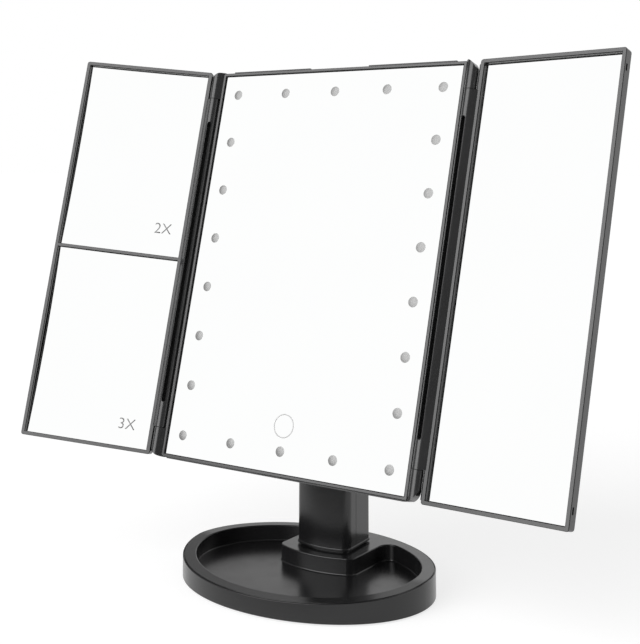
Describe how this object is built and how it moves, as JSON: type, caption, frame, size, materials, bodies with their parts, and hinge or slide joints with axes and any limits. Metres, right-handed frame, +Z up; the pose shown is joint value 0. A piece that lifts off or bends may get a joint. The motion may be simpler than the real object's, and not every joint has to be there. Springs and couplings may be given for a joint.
{
  "type": "trifold vanity mirror",
  "caption": "Lit trifold vanity mirror: centre mirror ringed with round lights, folding side mirrors, tilting head, battery column and an oval tray base.",
  "frame": {"origin": "middle of the oval base, on the surface that its rubber ring rests on", "axes": "+X to the viewer's right, +Y away from the viewer (the mirrors face -Y), +Z up"},
  "size_m": [0.3405, 0.1195, 0.3011],
  "materials": {
    "black_plastic": "satin moulded black",
    "gloss_black": "semi gloss black",
    "inner_plastic": "matt moulded black",
    "silvered_mirror": "flat silvered glass",
    "magnifying_mirror": "concave silvered glass",
    "frosted_window": "frosted white",
    "light_chip": "white light chip",
    "circuit_board": "green board",
    "foot_rubber": "matt",
    "screw_steel": "zinc plated",
    "socket_steel": "bright nickel",
    "contact_steel": "nickel plated",
    "cell_jacket": "plain grey sleeve"
  },
  "bodies": {
    "stand": {"base_tray": "black_plastic", "base_plate": "black_plastic", "base_foot_ring": "foot_rubber", "base_screws": "screw_steel", "usb_socket": "socket_steel", "power_board": "circuit_board", "column_front_shell": "black_plastic", "column_rear_shell": "black_plastic", "battery_tray": "inner_plastic", "tray_screws": "screw_steel", "battery_cells": "cell_jacket", "battery_contacts": "contact_steel", "column_screws": "screw_steel", "tilt_yoke": "black_plastic", "tilt_shaft": "screw_steel", "tilt_nut": "screw_steel", "friction_washers": "inner_plastic", "hinge_caps": "black_plastic"},
    "battery_door": {"battery_door": "black_plastic"},
    "head": {"main_frame": "gloss_black", "main_back_cover": "black_plastic", "main_mirror": "silvered_mirror", "led_diffuser": "frosted_window", "led_board": "circuit_board", "led_chips": "light_chip", "touch_board": "circuit_board", "hinge_pins": "screw_steel", "tilt_bracket": "black_plastic", "bracket_screws": "screw_steel"},
    "left_wing": {"left_wing_frame": "gloss_black", "left_wing_back": "black_plastic", "left_mirror_2x": "magnifying_mirror", "left_mirror_3x": "magnifying_mirror"},
    "right_wing": {"right_wing_frame": "gloss_black", "right_wing_back": "black_plastic", "right_mirror": "silvered_mirror"}
  },
  "joints": [
    {"name": "head_tilt", "type": "hinge", "parent": "stand", "child": "head", "pos_m": [0, 0.0264, 0.155], "axis": [-1, 0, 0], "range_deg": [-15, 25]},
    {"name": "left_wing_hinge", "type": "hinge", "parent": "head", "child": "left_wing", "pos_m": [-0.0867, 0.00084, 0.18019], "axis": [0, 0.263, 0.9648], "range_deg": [-23, 157]},
    {"name": "right_wing_hinge", "type": "hinge", "parent": "head", "child": "right_wing", "pos_m": [0.0867, 0.00084, 0.18019], "axis": [0, -0.263, -0.9648], "range_deg": [-4.4, 175.6]},
    {"name": "battery_door_hinge", "type": "hinge", "parent": "stand", "child": "battery_door", "pos_m": [0, 0.0425, 0.0226], "axis": [-1, 0, 0], "range_deg": [0, 60]}
  ]
}
